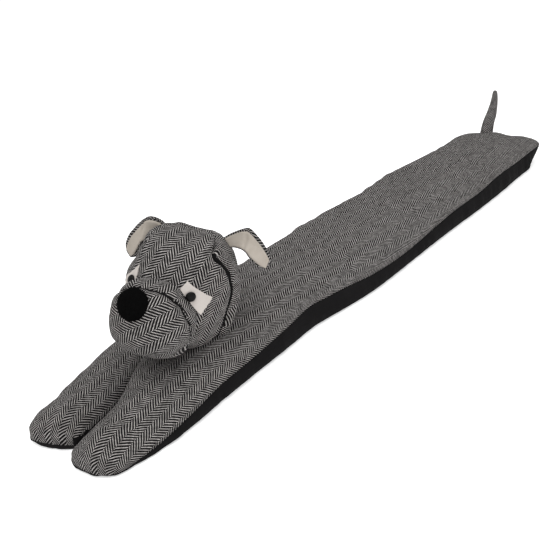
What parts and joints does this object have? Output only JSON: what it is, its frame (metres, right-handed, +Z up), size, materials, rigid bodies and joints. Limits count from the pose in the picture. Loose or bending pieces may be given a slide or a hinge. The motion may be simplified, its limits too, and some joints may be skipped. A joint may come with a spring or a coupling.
{
  "type": "dog-shaped draught excluder",
  "caption": "Long filled cloth draught excluder in the shape of a lying dog, with a raised stuffed head, two front paws, felt-lined folded ears and an upright tail.",
  "frame": {"origin": "on the surface that the object lies on, under the middle of its bounding box", "axes": "+X runs from the paws to the tail, +Y to the dog's right side, +Z up"},
  "size_m": [0.9404, 0.198, 0.1914],
  "materials": {
    "herringbone": "black and off-white herringbone tweed",
    "black_cotton": "plain woven black cotton",
    "cream_felt": "smooth cream felt",
    "black_fleece": "short black fleece",
    "black_bead": "domed black bead"
  },
  "bodies": {
    "root": {"body_top": "herringbone", "body_base": "black_cotton", "tail": "herringbone", "head_face": "herringbone", "head_back": "herringbone", "muzzle_band": "herringbone", "muzzle_front": "herringbone", "nose": "black_fleece", "eye_patch_near": "cream_felt", "eye_patch_far": "cream_felt", "eye_near": "black_bead", "eye_far": "black_bead", "ear_near_outer": "herringbone", "ear_near_lining": "cream_felt", "ear_far_outer": "herringbone", "ear_far_lining": "cream_felt"}
  },
  "joints": []
}
